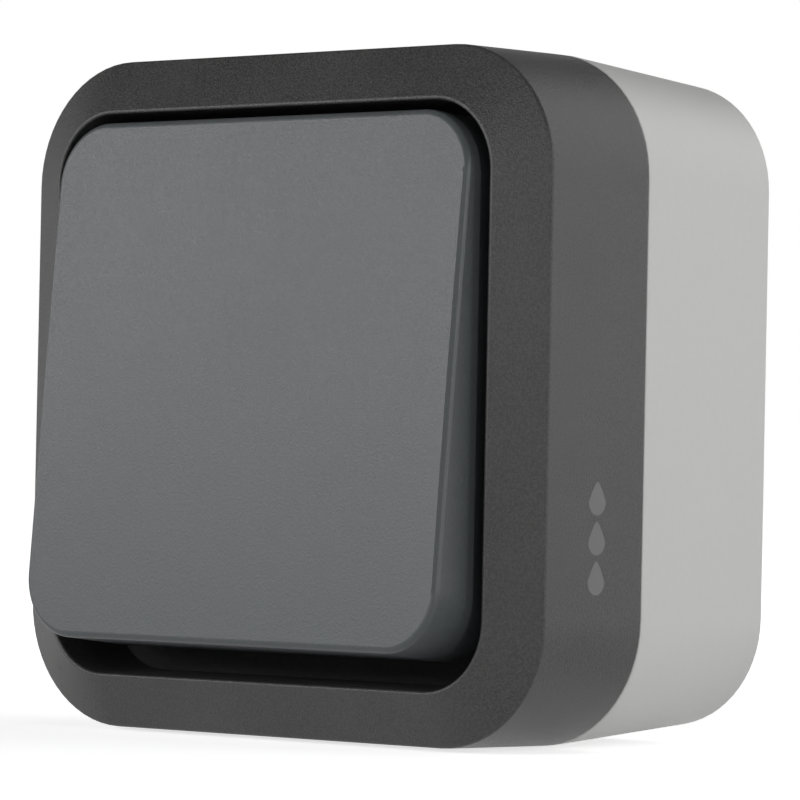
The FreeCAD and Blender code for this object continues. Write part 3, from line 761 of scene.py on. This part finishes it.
seal_rubber = rubber("seal_rubber", (0.012, 0.012, 0.012))
entry_rubber = rubber("entry_rubber", (0.42, 0.42, 0.41))
contact_brass = metal("contact_brass", (0.72, 0.52, 0.22), 0.30, (0.1, 1, 1))
contact_silver = metal("contact_silver", (0.86, 0.85, 0.82), 0.25, (1, 1, 1))
screw_steel = metal("screw_steel", (0.60, 0.61, 0.62), 0.34, (1, 0.2, 1))
spring_steel = metal("spring_steel", (0.45, 0.45, 0.46), 0.30, (1, 1, 1))

# %% [markdown]
# ## Dress every piece
# The solids that stay, such as the insert behind the rocker, take their finish by the record's slot.
# The new mouldings take theirs by name.

# %% Put the finishes on
finishes = {
    "box_plastic": box_plastic,
    "frame_plastic": frame_plastic,
    "rocker_plastic": rocker_plastic,
    "inner_plastic": inner_plastic,
    "base_plastic": base_plastic,
    "seal_rubber": seal_rubber,
    "entry_rubber": entry_rubber,
    "contact_brass": contact_brass,
    "contact_silver": contact_silver,
    "screw_steel": screw_steel,
    "spring_steel": spring_steel,
}
slot_of = {part["node"]: part["material_slot"] for part in frame["record"]["subparts"]}


def dress(piece, made):
    piece.data.materials.clear()
    piece.data.materials.append(made)


for name, node in frame["nodes"].items():
    dress(node, finishes[slot_of[name]])
dress(rear_box, box_plastic)
dress(top_seal, entry_rubber)
dress(low_seal, entry_rubber)
dress(cover, frame_plastic)
dress(button, rocker_plastic)
for piece in bpy.data.objects:
    if piece.name.startswith("side_mark"):
        dress(piece, mark_print)
print("finishes:", len(finishes) + 1)

# %% [markdown]
# ## Camera
# The picture was taken from far away with a long lens: the sides of the switch hardly converge. The
# place and the turn below were found by matching the corners of the frame, the box and the rocker.

# %% Set the camera
azimuth = math.radians(40.24)
elevation = math.radians(-0.89)
roll = math.radians(1.15)
distance = 462.6 * mm
focus = Vector((2.88 * mm, -21.48 * mm, -0.13 * mm))
outward = Vector(
    (
        math.sin(azimuth) * math.cos(elevation),
        -math.cos(azimuth) * math.cos(elevation),
        math.sin(elevation),
    )
)
across = Vector((math.cos(azimuth), math.sin(azimuth), 0))
upright = outward.cross(across)
turned_across = across * math.cos(roll) + upright * math.sin(roll)
turned_upright = upright * math.cos(roll) - across * math.sin(roll)
picture_side = 800
focal_length = 4727
lens = bpy.data.cameras.new("camera")
lens.sensor_width = 36
lens.lens = focal_length / picture_side * lens.sensor_width
lens.clip_start = 0.01
camera = bpy.data.objects.new("camera", lens)
bpy.context.scene.collection.objects.link(camera)
facing = Matrix((turned_across, turned_upright, outward)).transposed().to_4x4()
camera.matrix_world = Matrix.Translation(focus + outward * distance) @ facing
bpy.context.scene.camera = camera
print("camera", round(distance / mm), "mm away, lens", round(lens.lens, 1))

# %% [markdown]
# ## Floor and backdrop
# The switch stands on a plain pale floor. Seen from so low, a real floor would end in a grey line
# behind the switch. So what the camera sees of the floor gets a little light of its own, just enough
# to reach white where nothing shades it, and more of it far off. The shadow stays. The world behind
# it is white as well, and like a studio's backdrop it ends above and on the left: the ceiling is
# dimmer, which is why the rim looks darker on top than on the right, and so is the wall far left.


# %% Lay the floor
def looked_at(tree):
    """One for the camera's own rays and for those it sends by way of gloss or glass, else nothing."""
    kinds = add_node(tree, "ShaderNodeLightPath")
    camera_ray, gloss_ray, glass_ray = (
        Wire(kinds.socket.node.outputs[name])
        for name in ("Is Camera Ray", "Is Glossy Ray", "Is Transmission Ray")
    )
    total = camera_ray + gloss_ray + glass_ray
    return total.node("ShaderNodeClamp", None, {"Value": total})


floor_side = 6.0
floor_gap = 0.2 * mm
let_go()
bpy.ops.mesh.primitive_plane_add(size=floor_side, location=(0, 0, solid_box[0][2] - floor_gap))
floor = bpy.context.object
floor.name = "floor"
paper = bpy.data.materials.new("floor_paper")
paper.use_nodes = True
paper.node_tree.nodes.clear()
tree = paper.node_tree
near_lift = 0.7
far_lift = 1.0
near_reach = 0.08
far_reach = 0.4
spot = add_node(tree, "ShaderNodeTexCoord", outlet="Object")
away = spot.node("ShaderNodeVectorMath", {"operation": "LENGTH"}, {0: spot}, "Value")
lift = ranged(away, near_reach, far_reach, near_lift, far_lift, "SMOOTHSTEP")
matt = add_node(tree, "ShaderNodeBsdfDiffuse", None, {"Color": (0.88, 0.88, 0.88, 1)})
glow = add_node(
    tree, "ShaderNodeEmission", None, {"Color": (1, 1, 1, 1), "Strength": lift * looked_at(tree)}
)
both = add_node(tree, "ShaderNodeAddShader", None, {0: matt, 1: glow})
add_node(tree, "ShaderNodeOutputMaterial", None, {"Surface": both})
dress(floor, paper)

world = bpy.data.worlds.new("studio")
bpy.context.scene.world = world
world.use_nodes = True
world.node_tree.nodes.clear()
tree = world.node_tree
room_light = 0.2
ceiling_light = 0.15
backdrop_end = 0.2
ceiling_start = 0.5
left_light = 0.25
left_end = -0.96
left_start = -0.75
direction = add_node(tree, "ShaderNodeTexCoord", outlet="Generated")


def fading(axis, near, far, first, second):
    """A brightness that changes softly between two places along one axis of the direction."""
    along_axis = direction.node("ShaderNodeSeparateXYZ", None, {0: direction}, axis)
    return ranged(along_axis, near, far, first, second, "SMOOTHSTEP")


backdrop = fading("Z", backdrop_end, ceiling_start, 1.0, ceiling_light)
left_wall = fading("X", left_end, left_start, left_light, 1.0)
level = backdrop * left_wall * (room_light + (1 - room_light) * looked_at(tree))
sky = add_node(tree, "ShaderNodeBackground", None, {"Color": (1, 1, 1, 1), "Strength": level})
add_node(tree, "ShaderNodeOutputWorld", None, {"Surface": sky})

# %% [markdown]
# ## Lamps
# The picture shows a switch in a pale studio. The rocker's face mirrors a soft light that stands on
# the left, and the rim on the right mirrors one that stands near the camera. A narrow lamp on the
# right draws the thin light lines along the edges, and two large ones behind the switch brighten its
# right side and its top. A weak one far left makes up a little for the dim wall there. All of them
# stand far enough away to be even over the whole switch.


# %% Hang the lamps
def softbox(name, place, wide, high, watts):
    """A lamp at a place in metres that looks at the switch."""
    lamp = bpy.data.lights.new(name, "AREA")
    lamp.shape = "RECTANGLE"
    lamp.size = wide
    lamp.size_y = high
    lamp.energy = watts
    holder = bpy.data.objects.new(name, lamp)
    bpy.context.scene.collection.objects.link(holder)
    place = Vector(place)
    holder.matrix_world = Matrix.Translation(place) @ place.to_track_quat("Z", "Y").to_matrix().to_4x4()


softbox("lamp_far_left", (-1.15, -0.3, 0.28), 0.6, 0.2, 0.5)
softbox("lamp_left", (-0.78, -0.9, 0.25), 0.8, 0.3, 4.3)
softbox("lamp_front", (-0.2, -1.18, 0.28), 0.35, 0.2, 5.1)
softbox("lamp_right", (1.15, -0.31, 0.2), 0.12, 0.4, 2.8)
softbox("lamp_behind_right", (1.02, 0.54, 0.24), 0.7, 0.7, 5.2)
softbox("lamp_behind_high", (0.36, 0.9, 0.72), 0.7, 0.7, 3.3)
bpy.context.scene.view_settings.view_transform = "Standard"
